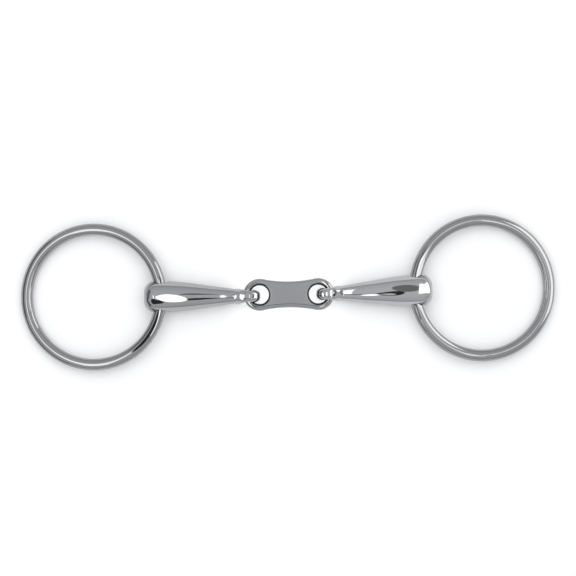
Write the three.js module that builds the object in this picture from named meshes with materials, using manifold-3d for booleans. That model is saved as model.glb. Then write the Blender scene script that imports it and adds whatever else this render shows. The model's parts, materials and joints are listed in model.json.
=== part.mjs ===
// Loose-ring snaffle bit with a three-piece mouthpiece: two rings, two tapered cannons and a flat centre link.
// Millimetres, +Z up. The bit lies flat, with the mouthpiece along X and the right-hand ring at +X.
// Each cannon swings on the end bar of the link, and each ring swings in the drilled butt of its cannon,
// so the nested groups stand at those two pivots.
import * as THREE from "three";
import { mergeVertices } from "three/addons/utils/BufferGeometryUtils.js";
import Module from "manifold-3d";

const wasm = await Module();
wasm.setup();

// Driving dimensions
const RING_OUTER_DIAMETER = 76;
const RING_WIRE_DIAMETER = 6;
const BUTT_DIAMETER = 16.2;
const NECK_DIAMETER = 7.2;
const EYE_TO_BUTT_HOLE = 44.4; // centre of a cannon's eye to the axis of its ring hole
const BUTT_HOLE_TO_END = 8.35;
const LINK_HOLE_SPACING = 30.3;
const LINK_HOLE_DIAMETER = 9.7;
const LINK_LOBE_DIAMETER = 16.7;
const LINK_WAIST_WIDTH = 13.6;
const LINK_THICKNESS = 3.8;

// How each side lies: the cannon's turn about Z, how far it stands out along its own axis within the play
// of its eye, how far its axis passes the middle of the link's hole, and the ring's play in the butt hole.
const SIDES = [
  { name: "left", turn: 179.6, play: 0.4, offset: -0.7, ringPlay: 0.1 },
  { name: "right", turn: 1.5, play: -0.4, offset: 0.1, ringPlay: -0.1 },
];

// The ring
const RING_RADIUS = (RING_OUTER_DIAMETER - RING_WIRE_DIAMETER) / 2; // of the wire's centreline
const WIRE_RADIUS = RING_WIRE_DIAMETER / 2;

// The cannon
const BUTT_RADIUS = BUTT_DIAMETER / 2;
const BUTT_END = EYE_TO_BUTT_HOLE + BUTT_HOLE_TO_END;
const BUTT_DOME_DEPTH = 5.2;
const BUTT_DOME_POWER = 2.4; // superellipse exponent: 2 is an ellipse, more is squarer
const NECK_CAP_START = 1;
const NECK_START = 4.5;
const TAPER_END = EYE_TO_BUTT_HOLE - 3.4;
const EYE = { alongX: 7.3, alongY: 3.55, alongZ: 6, power: 2.4 }; // half sizes of the eye's outer form
const EYE_HOLE_RADIUS = 2.85;
const EYE_HOLE_FLARE = 2.4;

// The ring hole is straight, so the curved wire bows through it: half its bow to each side of the axis.
const WIRE_BOW = RING_RADIUS - Math.sqrt(RING_RADIUS ** 2 - BUTT_RADIUS ** 2);
const RING_HOLE_CLEARANCE = 0.35;
const RING_HOLE_RADIUS = WIRE_RADIUS + WIRE_BOW / 2 + RING_HOLE_CLEARANCE;
const RING_HOLE_MOUTH = { depth: 1.4, flare: 0.3 }; // the rounding of each mouth

// The link
const LOBE_TUBE = (LINK_LOBE_DIAMETER - LINK_HOLE_DIAMETER) / 4; // radius of the round bar of each end
const LOBE_RADIUS = LINK_HOLE_DIAMETER / 2 + LOBE_TUBE; // of that bar's centreline
const WEB_EDGE_RADIUS = 1.2;
const WEB_OVERLAP = 1.1; // how far the web runs into the round bars, past their centreline
const BAR_X = LINK_HOLE_SPACING / 2 + LOBE_RADIUS; // where an eye holds the end bar

// Resting heights: butts, eyes and the far side of each ring all touch the surface
const PIVOT_HEIGHT = EYE.alongZ;

const STEEL = { color: 0x97989b, metalness: 1, roughness: 0.12 };

// A closed three.js geometry as a manifold solid.
function solidOf(geometry) {
  const bare = new THREE.BufferGeometry();
  bare.setAttribute("position", geometry.getAttribute("position"));
  if (geometry.index) bare.setIndex(geometry.index);
  const merged = mergeVertices(bare, 1e-4);
  const corners = merged.index.array;
  const kept = [];
  for (let i = 0; i < corners.length; i += 3) {
    const [a, b, c] = corners.slice(i, i + 3);
    if (a !== b && b !== c && c !== a) kept.push(a, b, c);
  }
  return new wasm.Manifold(
    new wasm.Mesh({
      numProp: 3,
      vertProperties: merged.attributes.position.array,
      triVerts: new Uint32Array(kept),
    }),
  );
}

// A manifold solid as a three.js geometry with flat facets.
function geometryOf(solid) {
  const mesh = solid.getMesh();
  const indexed = new THREE.BufferGeometry();
  indexed.setAttribute("position", new THREE.BufferAttribute(mesh.vertProperties, 3));
  indexed.setIndex(new THREE.BufferAttribute(mesh.triVerts, 1));
  const facets = indexed.toNonIndexed();
  facets.computeVertexNormals();
  return facets;
}

function steelMesh(name, geometry) {
  const mesh = new THREE.Mesh(geometry, new THREE.MeshStandardMaterial(STEEL));
  mesh.name = name;
  return mesh;
}

// Radius of the ring hole at a distance from the cannon's middle plane: straight, and eased at each mouth.
function ringHoleRadius(across) {
  const share = Math.max(0, 1 - (BUTT_RADIUS - Math.abs(across)) / RING_HOLE_MOUTH.depth);
  return RING_HOLE_RADIUS + RING_HOLE_MOUTH.flare * share ** 2;
}

// Radius of the eye's hole at a distance from the cannon's middle plane, flared so that it clears the
// curved end bar of the link.
function eyeHoleRadius(across) {
  const share = Math.min(Math.abs(across) / EYE.alongY, 1);
  return EYE_HOLE_RADIUS + EYE_HOLE_FLARE * (1 - Math.sqrt(1 - share ** 2));
}

// A solid of revolution about Y that cuts a hole of a varying radius, from -reach to reach.
function holeCutter(radiusAt, reach, rows, segments) {
  const points = [new THREE.Vector2(0, -reach)];
  for (let i = 0; i <= rows; i++) {
    const y = -reach + (2 * reach * i) / rows;
    points.push(new THREE.Vector2(radiusAt(y), y));
  }
  points.push(new THREE.Vector2(0, reach));
  return solidOf(new THREE.LatheGeometry(points, segments));
}

// The cannon's tapered bar and domed butt, turned about X. Both ends close in a quarter superellipse.
function cannonBar() {
  const neck = NECK_DIAMETER / 2;
  const taper = new THREE.CubicBezierCurve(
    new THREE.Vector2(neck, NECK_START),
    new THREE.Vector2(neck + 1.5, NECK_START + 12),
    new THREE.Vector2(BUTT_RADIUS, TAPER_END - 8),
    new THREE.Vector2(BUTT_RADIUS, TAPER_END),
  );
  const cap = (radius, from, to, power, rows) => {
    const quarter = [];
    for (let i = 1; i < rows; i++) {
      const angle = (i / rows) * (Math.PI / 2);
      const across = radius * Math.cos(angle) ** (2 / power);
      const along = Math.sin(angle) ** (2 / power);
      quarter.push(new THREE.Vector2(across, from + (to - from) * along));
    }
    quarter.push(new THREE.Vector2(0, to));
    return quarter;
  };
  const points = [
    ...cap(neck, NECK_START, NECK_CAP_START, 2, 4).reverse(),
    ...taper.getPoints(14),
    new THREE.Vector2(BUTT_RADIUS, BUTT_END - BUTT_DOME_DEPTH),
    ...cap(BUTT_RADIUS, BUTT_END - BUTT_DOME_DEPTH, BUTT_END, BUTT_DOME_POWER, 8),
  ];
  return solidOf(new THREE.LatheGeometry(points, 32).rotateZ(-Math.PI / 2));
}

// The eye's outer form: a superellipsoid flattened across the cannon, widest in the plane of the hole.
function eyeForm() {
  const form = new THREE.SphereGeometry(1, 32, 24);
  const position = form.getAttribute("position");
  const point = new THREE.Vector3();
  for (let i = 0; i < position.count; i++) {
    point.fromBufferAttribute(position, i);
    // SphereGeometry's poles lie on Y, which is the axis of the eye's hole
    const round = Math.hypot(point.x, point.z);
    const size = (round ** EYE.power + Math.abs(point.y) ** EYE.power) ** (1 / EYE.power);
    point.divideScalar(size).multiply(new THREE.Vector3(EYE.alongX, EYE.alongY, EYE.alongZ));
    position.setXYZ(i, point.x, point.y, point.z);
  }
  return solidOf(form);
}

// One cannon along +X, with its eye at the origin. Both holes run along Y.
function cannonGeometry() {
  const eyeHole = holeCutter(eyeHoleRadius, EYE.alongY + 0.7, 8, 24);
  const ringHole = holeCutter(ringHoleRadius, BUTT_RADIUS + 1, 8, 28).translate([
    EYE_TO_BUTT_HOLE,
    0,
    0,
  ]);
  return geometryOf(cannonBar().add(eyeForm()).subtract(eyeHole).subtract(ringHole));
}

// The link's web: a plate with hollowed sides and rounded edges, whose horns end inside the round end bars.
function linkWeb() {
  const half = LINK_HOLE_SPACING / 2;
  const lobe = LINK_LOBE_DIAMETER / 2;
  const waist = LINK_WAIST_WIDTH / 2;
  // The hollow side is an arc that touches both lobes and passes the waist.
  const sideRadius = (half ** 2 + waist ** 2 - lobe ** 2) / (2 * (lobe - waist));
  const sideCentre = waist + sideRadius;
  const sideSweep = Math.asin(half / (lobe + sideRadius));
  const touch = Math.PI / 2 - sideSweep; // where the hollow side meets the lobe, as an angle round it
  const mouth = LOBE_RADIUS - WEB_OVERLAP;
  const hornRadius = (lobe - mouth) / 2;
  const hornX = -half + (mouth + hornRadius) * Math.cos(touch);
  const hornY = (mouth + hornRadius) * Math.sin(touch);

  const outline = new THREE.Shape();
  const origin = new THREE.Vector2();
  for (const turn of [0, Math.PI]) {
    const arc = (x, y, radius, from, to, clockwise) => {
      const centre = new THREE.Vector2(x, y).rotateAround(origin, turn);
      outline.absarc(centre.x, centre.y, radius, from + turn, to + turn, clockwise);
    };
    arc(0, sideCentre, sideRadius, sideSweep - Math.PI / 2, -sideSweep - Math.PI / 2, true);
    arc(hornX, hornY, hornRadius, touch, touch + Math.PI, false);
    arc(-half, 0, mouth, touch, -touch, true);
    arc(hornX, -hornY, hornRadius, -touch - Math.PI, -touch, false);
  }
  const plate = new THREE.ExtrudeGeometry(outline, {
    depth: LINK_THICKNESS - 2 * WEB_EDGE_RADIUS,
    curveSegments: 6,
    bevelThickness: WEB_EDGE_RADIUS,
    bevelSize: WEB_EDGE_RADIUS,
    bevelOffset: -WEB_EDGE_RADIUS,
    bevelSegments: 4,
  });
  return solidOf(plate.translate(0, 0, WEB_EDGE_RADIUS - LINK_THICKNESS / 2));
}

function linkGeometry() {
  const lobeAt = (x) =>
    solidOf(new THREE.TorusGeometry(LOBE_RADIUS, LOBE_TUBE, 16, 40).translate(x, 0, 0));
  const half = LINK_HOLE_SPACING / 2;
  return geometryOf(linkWeb().add(lobeAt(-half)).add(lobeAt(half)));
}

// A ring that hangs from the origin along +X, in the XY plane, with half the wire's bow behind the origin.
function ringGeometry() {
  const ring = new THREE.TorusGeometry(RING_RADIUS, WIRE_RADIUS, 16, 72);
  return ring.translate(RING_RADIUS - WIRE_BOW / 2, 0, 0);
}

// One side of the bit: a group at the pivot on the link, holding the cannon and, at its butt, the ring.
function sideGroup({ name, turn, play, offset, ringPlay }) {
  const buttHole = EYE_TO_BUTT_HOLE + play;
  const rise = Math.asin((BUTT_RADIUS - PIVOT_HEIGHT) / buttHole);
  const ringFall = Math.asin((BUTT_RADIUS - WIRE_RADIUS) / (2 * RING_RADIUS - WIRE_BOW / 2));

  const cannon = steelMesh(`${name}_cannon`, cannonGeometry());
  cannon.position.x = play;
  const ringPivot = new THREE.Group();
  ringPivot.name = `${name}_ring_pivot`;
  ringPivot.position.x = buttHole + ringPlay;
  ringPivot.rotation.y = rise + ringFall;
  ringPivot.add(steelMesh(`${name}_ring`, ringGeometry()));

  const side = new THREE.Group();
  side.name = `${name}_cannon_pivot`;
  side.rotation.set(0, -rise, THREE.MathUtils.degToRad(turn), "ZYX");
  side.position.set(name === "left" ? -BAR_X : BAR_X, offset, PIVOT_HEIGHT);
  side.add(cannon, ringPivot);
  return side;
}

const bit = new THREE.Group();
const link = steelMesh("centre_link", linkGeometry());
link.position.z = PIVOT_HEIGHT;
bit.add(link, ...SIDES.map(sideGroup));

// The part's origin is the bottom centre of its box.
const box = new THREE.Box3().setFromObject(bit, true);
const middle = box.getCenter(new THREE.Vector3());
bit.position.set(-middle.x, -middle.y, -box.min.z);

export default bit;
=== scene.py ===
import json
import math

import bpy
import numpy as np
from mathutils import Matrix, Vector


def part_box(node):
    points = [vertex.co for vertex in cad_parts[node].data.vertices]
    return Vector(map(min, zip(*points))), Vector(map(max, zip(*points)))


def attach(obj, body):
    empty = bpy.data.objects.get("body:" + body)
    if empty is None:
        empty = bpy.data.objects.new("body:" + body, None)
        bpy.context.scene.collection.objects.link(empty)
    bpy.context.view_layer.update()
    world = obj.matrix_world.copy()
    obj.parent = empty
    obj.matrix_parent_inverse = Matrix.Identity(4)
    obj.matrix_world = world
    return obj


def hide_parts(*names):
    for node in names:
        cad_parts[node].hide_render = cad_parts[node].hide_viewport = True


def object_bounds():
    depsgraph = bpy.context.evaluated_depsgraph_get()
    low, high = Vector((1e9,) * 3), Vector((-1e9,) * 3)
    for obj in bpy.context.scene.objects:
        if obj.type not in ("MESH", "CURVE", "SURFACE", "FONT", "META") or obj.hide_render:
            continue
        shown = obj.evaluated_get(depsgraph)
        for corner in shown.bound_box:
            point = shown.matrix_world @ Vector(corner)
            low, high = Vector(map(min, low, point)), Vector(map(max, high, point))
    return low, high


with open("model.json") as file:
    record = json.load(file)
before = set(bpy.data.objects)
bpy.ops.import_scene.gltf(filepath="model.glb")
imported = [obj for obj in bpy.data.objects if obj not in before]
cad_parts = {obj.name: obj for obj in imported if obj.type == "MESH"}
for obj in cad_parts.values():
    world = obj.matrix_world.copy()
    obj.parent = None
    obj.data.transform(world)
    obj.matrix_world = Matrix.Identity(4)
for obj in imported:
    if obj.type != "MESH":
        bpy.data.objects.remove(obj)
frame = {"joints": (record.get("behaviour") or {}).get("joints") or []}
cad_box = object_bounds()
scene = bpy.context.scene

MM = 0.001
JOINTS = {j["name"]: j for j in frame["joints"]}

# Sizes of the pieces, in millimetres
RING_RADIUS, WIRE_RADIUS = 35.0, 3.0
BUTT_RADIUS, NECK_RADIUS = 8.1, 3.6
EYE_TO_BUTT_HOLE, BUTT_END = 44.4, 52.75
RING_HOLE_RADIUS = 3.825
NECK_START, TAPER_END = 4.5, 36.5
# The butt ends in a shallow dome, with its edge turned to a radius. The blend softens the line
# where the taper meets the butt.
END_DOME_RADIUS, END_EDGE_RADIUS, TAPER_BLEND = 30.0, 4.6, 1.2
# The eye is a thick oval disc on its edge: half its size along, across and up the cannon, and
# a power that says how square its rim is
EYE_HALF_SIZE, EYE_POWER = (7.3, 3.55, 5.7), 3.0
# How much wider each side of the eye is on its way to the neck, where, and over what reach
EYE_SHOULDER, EYE_SHOULDER_AT, EYE_SHOULDER_REACH = 0.35, 1.8, 2.2
# The eye's hole widens towards its mouths. That fades out over FLARE_FADE on the neck's side.
EYE_HOLE_RADIUS, EYE_HOLE_FLARE, FLARE_FADE = 2.85, 0.125, 3.0
BAR_START, BAR_START_BLEND = -0.5, 2.5  # where the round bar ends inside the eye
EYE_BLEND, EYE_HOLE_LIP, RING_HOLE_LIP = 1.4, 0.9, 0.8
LINK_HALF_SPACING, LINK_HOLE_RADIUS, LOBE_RADIUS = 15.15, 4.8, 8.35
LINK_HALF_WAIST, LINK_HALF_THICKNESS = 6.8, 1.9
# How deep the link's rounded rims are, and how far the outer and the hole's reach over its face
LINK_EDGE = 1.72
LINK_RIM_WIDTH, LINK_HOLE_RIM_WIDTH = 2.4, 1.3
# How far the ring stands outwards from the middle of the hole in the butt
RING_PLAY = {"left": 0.1, "right": -0.25}

# How finely each surface is drawn: cells in millimetres, and steps round and across the ring
CANNON_CELL, LINK_CELL, RING_STEPS = 0.36, 0.3, (360, 44)
EVENING_PASSES = 6  # how often a mesh is evened out along its surface
# The space that each surface is looked for in: low corner, high corner
CANNON_SPACE = (-7.5, -8.2, -8.2), (BUTT_END + 0.2, 8.2, 8.2)
LINK_SPACE = (-23.5, -8.4, -LINK_HALF_THICKNESS), (23.5, 8.4, LINK_HALF_THICKNESS)


# ---------- smooth surfaces from a field that is negative inside ----------
def smooth_min(a, b, width):
    """The smaller of two values, blended where they are within a width of each other."""
    share = np.clip(0.5 + 0.5 * (b - a) / width, 0, 1)
    return b * (1 - share) + a * share - width * share * (1 - share)


def smooth_max(a, b, width):
    return -smooth_min(-a, -b, width)


def rounded_edge(a, b, radius):
    """Where two faces meet, with the edge turned to a radius."""
    over = np.hypot(np.maximum(radius + a, 0), np.maximum(radius + b, 0))
    return np.minimum(np.maximum(a, b), -radius) + over


def gradient(field, p):
    step = 1e-3
    columns = []
    for axis in range(3):
        d = np.zeros(3)
        d[axis] = step
        ahead, behind = field(*(p + d).T), field(*(p - d).T)
        columns.append((ahead - behind) / (2 * step))
    return np.stack(columns, 1)


def settle(field, p, steps):
    """Moves points onto the surface, along the field's gradient."""
    for _ in range(steps):
        g = gradient(field, p)
        value = field(*p.T)
        p = p - g * (value / np.maximum((g * g).sum(1), 1e-6))[:, None]
    return p


def surface_net(field, low, high, cell):
    """Points and quads near the surface: one point in each grid cell that it passes through."""
    axes = [np.arange(low[i] - 2.5 * cell, high[i] + 3 * cell, cell) for i in range(3)]
    grid = np.stack(np.meshgrid(*axes, indexing="ij"), -1)
    value = field(grid[..., 0], grid[..., 1], grid[..., 2])
    count = np.array(value.shape) - 1
    total = np.zeros((*count, 3))
    hits = np.zeros(count)
    crossings = []
    for a in range(3):
        b, c = (a + 1) % 3, (a + 2) % 3
        first = np.take(value, range(count[a]), a)
        second = np.take(value, range(1, count[a] + 1), a)
        cross = (first < 0) != (second < 0)
        crossings.append((cross, first < 0))
        where = np.take(grid, range(count[a]), a).copy()
        where[..., a] += cell * np.where(cross, first / np.where(cross, first - second, 1), 0)
        for db in (0, 1):
            for dc in (0, 1):
                span = [slice(None)] * 3
                span[b] = slice(db, count[b] + db)
                span[c] = slice(dc, count[c] + dc)
                hit = cross[tuple(span)]
                hits += hit
                total += where[tuple(span)] * hit[..., None]
    used = hits > 0
    index = np.full(count, -1)
    index[used] = np.arange(used.sum())
    points = total[used] / hits[used][:, None]
    quads = []
    for a in range(3):
        b, c = (a + 1) % 3, (a + 2) % 3
        cross, inward = crossings[a]
        found = np.argwhere(cross)
        keep_b = (found[:, b] > 0) & (found[:, b] < count[b])
        keep_c = (found[:, c] > 0) & (found[:, c] < count[c])
        found = found[keep_b & keep_c]
        corners = []
        for db, dc in ((1, 1), (0, 1), (0, 0), (1, 0)):
            cell_at = found.copy()
            cell_at[:, b] -= db
            cell_at[:, c] -= dc
            corners.append(index[tuple(cell_at.T)])
        ring = np.stack(corners, 1)
        forward = inward[tuple(found.T)]
        quads.append(ring[forward])
        quads.append(ring[~forward][:, ::-1])
    return points, np.concatenate(quads)


def even_out(field, points, quads):
    """Moves each point half way to the middle of its neighbours, then back onto the surface."""
    total = np.zeros_like(points)
    count = np.zeros(len(points))
    for i in range(4):
        np.add.at(total, quads[:, i], points[quads[:, (i + 1) % 4]])
        np.add.at(total, quads[:, i], points[quads[:, i - 1]])
        np.add.at(count, quads[:, i], 2)
    return settle(field, 0.5 * points + 0.5 * total / count[:, None], 2)


def surface(field, low, high, cell):
    """Points, quads and normals of the surface where the field is zero."""
    points, quads = surface_net(field, low, high, cell)
    points = settle(field, points, 4)
    for _ in range(EVENING_PASSES):
        points = even_out(field, points, quads)
    points = settle(field, points, 3)
    normals = gradient(field, points)
    return points, quads, normals / np.linalg.norm(normals, axis=1)[:, None]


def bar_field(x, y, z):
    """The cannon's round bar: a taper from the neck to the butt, with a domed end."""
    off_axis = np.hypot(y, z)
    slope = (BUTT_RADIUS - NECK_RADIUS) / (TAPER_END - NECK_START)
    widening = NECK_RADIUS + slope * (x - NECK_START)
    taper = smooth_min(widening, BUTT_RADIUS, TAPER_BLEND)
    end = np.hypot(x - BUTT_END + END_DOME_RADIUS, off_axis) - END_DOME_RADIUS
    bar = rounded_edge(off_axis - taper, end, END_EDGE_RADIUS)
    return smooth_max(bar, BAR_START - x, BAR_START_BLEND)


def eye_field(x, y, z):
    """The flattened eye at the cannon's inner end, without its hole."""
    ax, ay, az = EYE_HALF_SIZE
    off_shoulder = (x - EYE_SHOULDER_AT) / EYE_SHOULDER_REACH
    ay = ay + EYE_SHOULDER * np.exp(-(off_shoulder ** 2))
    flat = np.hypot(x / ax, z / az) + 1e-9
    thin = np.abs(y) / ay + 1e-9
    size = (flat ** EYE_POWER + thin ** EYE_POWER) ** (1 / EYE_POWER)
    along = (flat / size) ** (EYE_POWER - 1) / flat
    across = (thin / size) ** (EYE_POWER - 1) / ay
    steep = np.sqrt((along * x / ax**2) ** 2 + (along * z / az**2) ** 2 + across ** 2)
    return (size - 1) / np.maximum(steep, 0.05)


def cannon_field(x, y, z):
    """One arm: the bar and the eye as one, with the link's hole and the ring's hole cut out."""
    solid = smooth_min(bar_field(x, y, z), eye_field(x, y, z), EYE_BLEND)
    share = np.clip(x / FLARE_FADE, 0, 1)
    flare = EYE_HOLE_FLARE * (1 - share**2 * (3 - 2 * share))
    eye_hole = EYE_HOLE_RADIUS + flare * y**2 - np.hypot(x, z)
    ring_hole = RING_HOLE_RADIUS - np.hypot(x - EYE_TO_BUTT_HOLE, z)
    solid = smooth_max(solid, eye_hole, EYE_HOLE_LIP)
    return smooth_max(solid, ring_hole, RING_HOLE_LIP)


def link_field(x, y, z):
    """The flat plate: two round lobes, joined by sides that are hollow arcs."""
    ax, ay = np.abs(x), np.abs(y)
    side_radius = (
        (LINK_HALF_SPACING**2 + LINK_HALF_WAIST**2 - LOBE_RADIUS**2)
        / (2 * (LOBE_RADIUS - LINK_HALF_WAIST)))
    side_centre = LINK_HALF_WAIST + side_radius
    lobe = np.hypot(ax - LINK_HALF_SPACING, ay)
    beyond = (ay - side_centre) * LINK_HALF_SPACING + ax * side_centre > 0
    side = side_radius - np.hypot(ax, ay - side_centre)
    outline = np.where(beyond, lobe - LOBE_RADIUS, side)
    flat = np.maximum(
        outline * LINK_EDGE / LINK_RIM_WIDTH,
        (LINK_HOLE_RADIUS - lobe) * LINK_EDGE / LINK_HOLE_RIM_WIDTH)
    return rounded_edge(flat, np.abs(z) - LINK_HALF_THICKNESS, LINK_EDGE)


def torus(radius, wire, around, across):
    """Points, quads and normals of a ring of round wire."""
    turn = np.linspace(0, 2 * np.pi, around, endpoint=False)[:, None]
    roll = np.linspace(0, 2 * np.pi, across, endpoint=False)[None, :]
    flat = 0 * turn * roll
    normals = np.stack(
        [np.cos(roll) * np.cos(turn), np.cos(roll) * np.sin(turn), np.sin(roll) + flat], -1)
    centre = radius * np.stack([np.cos(turn) + flat, np.sin(turn) + flat, flat], -1)
    points = centre + wire * normals
    i, j = np.meshgrid(range(around), range(across), indexing="ij")

    def at(i, j):
        return (i % around) * across + j % across

    quads = np.stack([at(i, j), at(i + 1, j), at(i + 1, j + 1), at(i, j + 1)], -1)
    return points.reshape(-1, 3), quads.reshape(-1, 4), normals.reshape(-1, 3)


# ---------- objects and materials ----------
def add(name, data):
    """A new object in the scene, which holds a mesh, a light or a camera."""
    obj = bpy.data.objects.new(name, data)
    scene.collection.objects.link(obj)
    return obj


def new_material(name):
    mat = bpy.data.materials.new(name)
    mat.use_nodes = True
    return mat, mat.node_tree.nodes, mat.node_tree.links


def grey(level):
    return (level, level, level)


def set_stops(ramp, stops):
    """Fills a colour ramp. Each stop is a position and a colour."""
    while len(ramp.elements) < len(stops):
        ramp.elements.new(0.5)
    for element, (position, colour) in zip(ramp.elements, stops):
        element.position = position
        element.color = (*colour, 1)


def piece(name, body, shape, place, material):
    """A mesh in the row frame, in metres, riding on its body in place of the CAD node."""
    points, quads, normals = shape
    place = np.array(place)
    points = (points * MM) @ place[:3, :3].T + place[:3, 3]
    normals = normals @ place[:3, :3].T
    mesh = bpy.data.meshes.new(name)
    mesh.vertices.add(len(points))
    mesh.vertices.foreach_set("co", points.astype(np.float32).ravel())
    mesh.loops.add(quads.size)
    mesh.loops.foreach_set("vertex_index", quads.astype(np.int32).ravel())
    mesh.polygons.add(len(quads))
    mesh.polygons.foreach_set("loop_start", np.arange(0, quads.size, 4, dtype=np.int32))
    mesh.update(calc_edges=True)
    mesh.validate()
    mesh.polygons.foreach_set("use_smooth", np.ones(len(mesh.polygons), bool))
    mesh.normals_split_custom_set_from_vertices([tuple(n) for n in normals])
    mesh.materials.append(material)
    obj = add(name, mesh)
    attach(obj, body)
    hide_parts(body)
    return obj


def axes_at(x, y, origin):
    """A matrix with its X and Y along two directions, and its Z up."""
    x, y = x.normalized(), y.normalized()
    if x.cross(y).z < 0:
        y = -y
    z = x.cross(y)
    return Matrix((
        (x.x, y.x, z.x, origin.x), (x.y, y.y, z.y, origin.y),
        (x.z, y.z, z.z, origin.z), (0, 0, 0, 1)))


# ---------- polished steel ----------
DARK_STEEL, LIGHT_STEEL = (0.470, 0.474, 0.484), (0.500, 0.503, 0.510)
STEEL_IOR = 2.5
# The walls and rims of the link's holes get a painted shade, which stands in for the shade and
# dark reflections in the holes: their base colour is multiplied by this, to match the photo. It
# fades out between these two distances past the hole's radius, in millimetres.
PAINTED_HOLE_SHADE, PAINTED_HOLE_SHADE_FADE = 0.13, (0.75, 1.25)


def polished_steel(name, seed, grain_turn, brightness, shaded_hole_centres=()):
    mat, nodes, links = new_material(name)
    bsdf = nodes["Principled BSDF"]
    bsdf.inputs["Metallic"].default_value = 1.0
    bsdf.inputs["IOR"].default_value = STEEL_IOR

    def node(kind, **values):
        n = nodes.new(kind)
        for key, value in values.items():
            if key in n.inputs:
                n.inputs[key].default_value = value
            else:
                setattr(n, key, value)
        return n

    coords = node("ShaderNodeTexCoord")
    place = node(
        "ShaderNodeMapping", Location=(seed * 0.37, seed * 0.11, seed * 0.53),
        Rotation=(0, 0, grain_turn))
    links.new(coords.outputs["Object"], place.inputs["Vector"])

    def noise(scale, detail, rough, stretch=None):
        """Noise over the piece. A small number in stretch draws it out along that axis."""
        n = node("ShaderNodeTexNoise", Scale=scale, Detail=detail, Roughness=rough)
        source = place
        if stretch:
            source = node("ShaderNodeMapping", Scale=stretch)
            links.new(place.outputs["Vector"], source.inputs["Vector"])
        links.new(source.outputs["Vector"], n.inputs["Vector"])
        return n.outputs["Fac"]

    def ramp(source, *stops):
        r = node("ShaderNodeValToRGB")
        set_stops(r.color_ramp, stops)
        links.new(source, r.inputs["Fac"])
        return r.outputs["Color"]

    def maths(operation, a, b):
        m = node("ShaderNodeMath", operation=operation)
        for i, v in enumerate((a, b)):
            if isinstance(v, (int, float)):
                m.inputs[i].default_value = v
            else:
                links.new(v, m.inputs[i])
        return m.outputs["Value"]

    def multiply(a, b):
        m = node("ShaderNodeMix", data_type="RGBA", blend_type="MULTIPLY")
        m.inputs["Factor"].default_value = 1.0
        links.new(a, m.inputs[6])
        links.new(b, m.inputs[7])
        return m.outputs[2]

    cloud = noise(scale=70, detail=3, rough=0.55)
    film = noise(scale=420, detail=4, rough=0.6)
    hairlines = noise(scale=2600, detail=3, rough=0.7, stretch=(0.05, 1, 1))
    cross_lines = noise(scale=2100, detail=2, rough=0.7, stretch=(1, 0.06, 1))

    darker = tuple(brightness * c for c in DARK_STEEL)
    lighter = tuple(brightness * c for c in LIGHT_STEEL)
    tone = ramp(cloud, (0.3, darker), (0.7, lighter))
    colour = multiply(tone, ramp(hairlines, (0.33, grey(0.93)), (0.45, grey(1.0))))
    # Painted shade: each hole's walls and rims are darkened in the base colour, fading out past
    # its edge
    for centre in shaded_hole_centres:
        away = node("ShaderNodeVectorMath", operation="DISTANCE")
        flatten = node("ShaderNodeVectorMath", operation="MULTIPLY")
        flatten.inputs[1].default_value = (1, 1, 0)
        links.new(coords.outputs["Object"], flatten.inputs[0])
        links.new(flatten.outputs["Vector"], away.inputs[0])
        away.inputs[1].default_value = (centre.x, centre.y, 0)
        painted_shade = node("ShaderNodeMapRange")
        painted_shade.inputs["From Min"].default_value = (LINK_HOLE_RADIUS + PAINTED_HOLE_SHADE_FADE[0]) * MM
        painted_shade.inputs["From Max"].default_value = (LINK_HOLE_RADIUS + PAINTED_HOLE_SHADE_FADE[1]) * MM
        painted_shade.inputs["To Min"].default_value = PAINTED_HOLE_SHADE
        painted_shade.inputs["To Max"].default_value = 1.0
        links.new(away.outputs["Value"], painted_shade.inputs["Value"])
        colour = multiply(colour, painted_shade.outputs["Result"])
    links.new(colour, bsdf.inputs["Base Color"])

    rough = ramp(film, (0.35, grey(0.045)), (0.7, grey(0.085)))
    both_lines = maths("MAXIMUM", hairlines, cross_lines)
    lines = ramp(both_lines, (0.60, grey(0.0)), (0.72, grey(0.10)))
    links.new(maths("ADD", rough, lines), bsdf.inputs["Roughness"])

    waves = node("ShaderNodeBump", Strength=0.10, Distance=0.0006)
    links.new(noise(scale=110, detail=2, rough=0.4), waves.inputs["Height"])
    scratches = node("ShaderNodeBump", Strength=0.06, Distance=0.00002)
    links.new(maths("ADD", hairlines, cross_lines), scratches.inputs["Height"])
    links.new(waves.outputs["Normal"], scratches.inputs["Normal"])
    links.new(scratches.outputs["Normal"], bsdf.inputs["Normal"])
    return mat


# ---------- the bit ----------
# How bright the base colour is beside the link's. These are set to match tones measured in the
# photo, which probably come from its lighting. They are not a known difference in the metal.
CANNON_BRIGHTNESS = {"left": 1.08, "right": 1.24}
RING_BRIGHTNESS = 0.87

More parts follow.
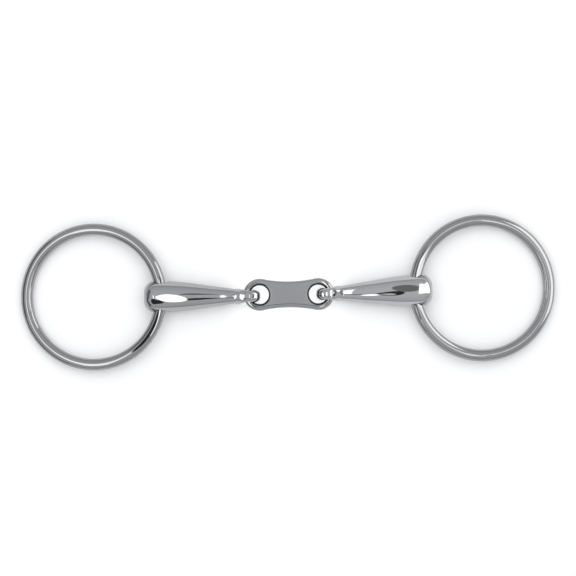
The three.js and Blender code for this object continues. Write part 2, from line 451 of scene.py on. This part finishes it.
cannon_shape = surface(cannon_field, *CANNON_SPACE, CANNON_CELL)
ring_shape = torus(RING_RADIUS, WIRE_RADIUS, *RING_STEPS)
link_low, link_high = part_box("centre_link")
link_middle = (link_low + link_high) / 2
link_holes = [
    link_middle + Vector((side * LINK_HALF_SPACING * MM, 0, 0)) for side in (-1, 1)]
piece(
    "link_body", "centre_link", surface(link_field, *LINK_SPACE, LINK_CELL),
    Matrix.Translation(link_middle),
    polished_steel("steel_link", 1, 0.0, 1.0, link_holes))
for number, side in enumerate(("left", "right")):
    pivot = Vector(JOINTS[f"{side}_cannon_fold"]["pos_m"])
    hole = Vector(JOINTS[f"{side}_ring_swing"]["pos_m"])
    hole_axis = Vector(JOINTS[f"{side}_ring_swing"]["axis"])
    along = (hole - pivot).normalized()
    eye = hole - along * ((EYE_TO_BUTT_HOLE + RING_PLAY[side]) * MM)
    grain_turn = math.atan2(along.y, along.x)
    piece(
        f"{side}_cannon_body", f"{side}_cannon", cannon_shape,
        axes_at(along, hole_axis, eye),
        polished_steel(
            f"steel_cannon_{side}", 2 + number, grain_turn, CANNON_BRIGHTNESS[side]))
    ring_low, ring_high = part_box(f"{side}_ring")
    centre = (ring_low + ring_high) / 2
    piece(
        f"{side}_ring_body", f"{side}_ring", ring_shape,
        axes_at(centre - hole, hole_axis, centre),
        polished_steel(f"steel_ring_{side}", 4 + number, 0.6 + number, RING_BRIGHTNESS))


# ---------- floor, light and camera ----------
FLOOR_HALF_SIZE = 4
FLOOR_SHADE, REFLECTED_FLOOR_SHADE = 0.93, 0.72
FLOOR_DROP, REFLECTED_FLOOR_DROP = 0.0003, 0.0002  # how far each lies under the part
# How high in the sky, from the horizon at 0 to straight up at 1, and how bright it is there
SKY_TONES = (0.0, 0.42), (0.07, 0.42), (0.20, 0.50), (0.50, 0.56), (0.90, 0.63)
SKY_TINT = (0.99, 1.0, 1.02)
ROUND_CARD_SIDES = 48

low, high = cad_box
middle = (low + high) / 2
scene.view_settings.view_transform = "Standard"


def only_for(obj, *rays):
    """Makes an object show to these kinds of ray and no others."""
    for ray in ("camera", "diffuse", "glossy", "transmission", "volume_scatter", "shadow"):
        setattr(obj, f"visible_{ray}", ray in rays)


def rectangle(half_width, half_height):
    w, h = half_width, half_height
    return [(-w, -h, 0), (w, -h, 0), (w, h, 0), (-w, h, 0)]


def ellipse(half_width, half_height):
    turns = [2 * math.pi * i / ROUND_CARD_SIDES for i in range(ROUND_CARD_SIDES)]
    return [(half_width * math.cos(t), half_height * math.sin(t), 0) for t in turns]


def sheet(name, rim, material):
    """A flat sheet, of one face inside its rim."""
    mesh = bpy.data.meshes.new(name)
    mesh.from_pydata(rim, [], [tuple(range(len(rim)))])
    mesh.materials.append(material)
    return add(name, mesh)


def floor_plane(name, shade, height):
    mat, nodes, _ = new_material(name)
    bsdf = nodes["Principled BSDF"]
    bsdf.inputs["Base Color"].default_value = (*grey(shade), 1)
    bsdf.inputs["Roughness"].default_value = 0.9
    bsdf.inputs["Specular IOR Level"].default_value = 0.0
    obj = sheet(name, rectangle(FLOOR_HALF_SIZE, FLOOR_HALF_SIZE), mat)
    obj.location.z = height
    return obj


# The photo's floor is bleached to white. A greyer one, which only reflections see, brings the
# metal's tones closer to the photo's.
only_for(
    floor_plane("floor", FLOOR_SHADE, low.z - FLOOR_DROP),
    "camera", "diffuse", "transmission", "shadow")
only_for(
    floor_plane("floor_in_reflections", REFLECTED_FLOOR_SHADE, low.z - REFLECTED_FLOOR_DROP),
    "glossy")

# The sky is grey at the horizon and lighter overhead
world = bpy.data.worlds.new("studio")
world.use_nodes = True
world_nodes, world_links = world.node_tree.nodes, world.node_tree.links
direction = world_nodes.new("ShaderNodeTexCoord")
split = world_nodes.new("ShaderNodeSeparateXYZ")
sky = world_nodes.new("ShaderNodeValToRGB")
set_stops(sky.color_ramp, [(at, [tone * t for t in SKY_TINT]) for at, tone in SKY_TONES])
world_links.new(direction.outputs["Generated"], split.inputs["Vector"])
world_links.new(split.outputs["Z"], sky.inputs["Fac"])
world_links.new(sky.outputs["Color"], world_nodes["Background"].inputs["Color"])
scene.world = world


def aim(obj, target):
    obj.rotation_euler = (Vector(target) - obj.location).to_track_quat("-Z", "Y").to_euler()


def soft_light(name, at, size, watts):
    light = bpy.data.lights.new(name, "AREA")
    light.shape = "DISK"
    light.size = size
    light.energy = watts
    obj = add(name, light)
    obj.location = at
    obj.visible_glossy = False
    aim(obj, middle)


def card(name, at, size, glow, turn=0, round_card=False, target=None):
    """A studio card that only reflections see. It lies flat, or faces a target."""
    mat, nodes, links = new_material(name)
    nodes.clear()
    emit = nodes.new("ShaderNodeEmission")
    emit.inputs["Color"].default_value = (1, 1, 1, 1)
    emit.inputs["Strength"].default_value = glow
    out = nodes.new("ShaderNodeOutputMaterial")
    links.new(emit.outputs["Emission"], out.inputs["Surface"])
    outline = ellipse if round_card else rectangle
    obj = sheet(name, outline(size[0] / 2, size[1] / 2), mat)
    obj.location = at
    if target:
        aim(obj, target)
    obj.rotation_euler.rotate_axis("Z", math.radians(turn))
    only_for(obj, "glossy")


# Soft lights, which the metal doesn't reflect: place and size in metres, watts
soft_light("key", at=(-0.12, 0.34, 0.95), size=1.3, watts=4.2)
soft_light("fill", at=(0.06, -0.02, 1.1), size=1.7, watts=5.3)

# A narrow spot on the middle, so that the floor inside the link's holes is white as in the photo
spot = bpy.data.lights.new("overhead_spot", "SPOT")
spot.energy = 19.0
spot.spot_size = math.radians(3.6)
spot.spot_blend = 0.6
spot.shadow_soft_size = 0.01
spot_object = add("overhead_spot", spot)
spot_object.location = (middle.x, middle.y, 0.96)
spot_object.visible_glossy = False

# The cards imitate the reflections in the photo. Each is placed for the camera below and for
# rest, so from other sides, or with the pieces moved, its reflection falls elsewhere.
# Low cards over the cannons: name, place and size in metres, glow
card("lens", (-0.0525, -0.0165, 0.060), (0.027, 0.060), 2.3, turn=12, round_card=True)
card("wedge", (-0.0760, -0.0215, 0.0350), (0.028, 0.030), 0.03, round_card=True)
card("line_low", (-0.008, -0.0225, 0.0605), (0.076, 0.008), 0.05)
card("line_left", (-0.032, -0.0240, 0.0606), (0.030, 0.020), 0.02, turn=8, round_card=True)
card("line_high", (-0.031, 0.0185, 0.0605), (0.030, 0.009), 0.03, turn=20, round_card=True)
card("butt_white", (0.0757, 0.0062, 0.030), (0.0180, 0.0270), 2.2)
card("neck_white", (0.0233, 0.006, 0.030), (0.0055, 0.025), 2.0)
card("neck_spot", (-0.0268, -0.002, 0.030), (0.0035, 0.013), 2.0, round_card=True)
card("butt_grey", (0.0535, 0.021, 0.0602), (0.026, 0.056), 0.20, turn=10, round_card=True)
card("streak_black", (0.0410, -0.018, 0.0605), (0.024, 0.038), 0.03, turn=-20, round_card=True)
card("streak_mid", (0.0385, -0.022, 0.060), (0.013, 0.014), 0.7, turn=-20, round_card=True)
card("streak_white", (0.0250, -0.031, 0.060), (0.010, 0.022), 2.0, turn=-15, round_card=True)
# Cards further off: white softboxes, two of them overhead, and dark flags
card("over_left", (-0.225, -0.10, 0.5), (0.10, 0.36), 2.0)
card("over_right", (0.200, -0.05, 0.5), (0.045, 0.28), 2.0)
card("box_right", (0.34, 0.08, 0.135), (0.38, 0.25), 2.0, target=middle)
card("dark_left", (-0.40, -0.20, 0.06), (0.40, 0.12), 0.08, target=middle)
card("dark_far_left", (-0.42, 0.10, 0.13), (0.36, 0.22), 0.20, target=middle)

# The camera looks straight down, rolled to match the photo. CAMERA_DISTANCE below it, at the
# height VIEW_LEVEL, the picture is VIEW_WIDTH wide.
VIEW_WIDTH, CAMERA_DISTANCE, VIEW_LEVEL = 0.2984, 1.0, 0.005
CAMERA_SHIFT, CAMERA_ROLL = (0.0001, 0.0023), -0.7
camera = bpy.data.cameras.new("camera")
camera.sensor_width = 36
camera.lens = camera.sensor_width * CAMERA_DISTANCE / VIEW_WIDTH
camera.clip_start, camera.clip_end = 0.01, 20
eye_point = add("camera", camera)
eye_point.location = (
    middle.x + CAMERA_SHIFT[0], middle.y + CAMERA_SHIFT[1], VIEW_LEVEL + CAMERA_DISTANCE)
eye_point.rotation_euler = (0, 0, math.radians(CAMERA_ROLL))
scene.camera = eye_point
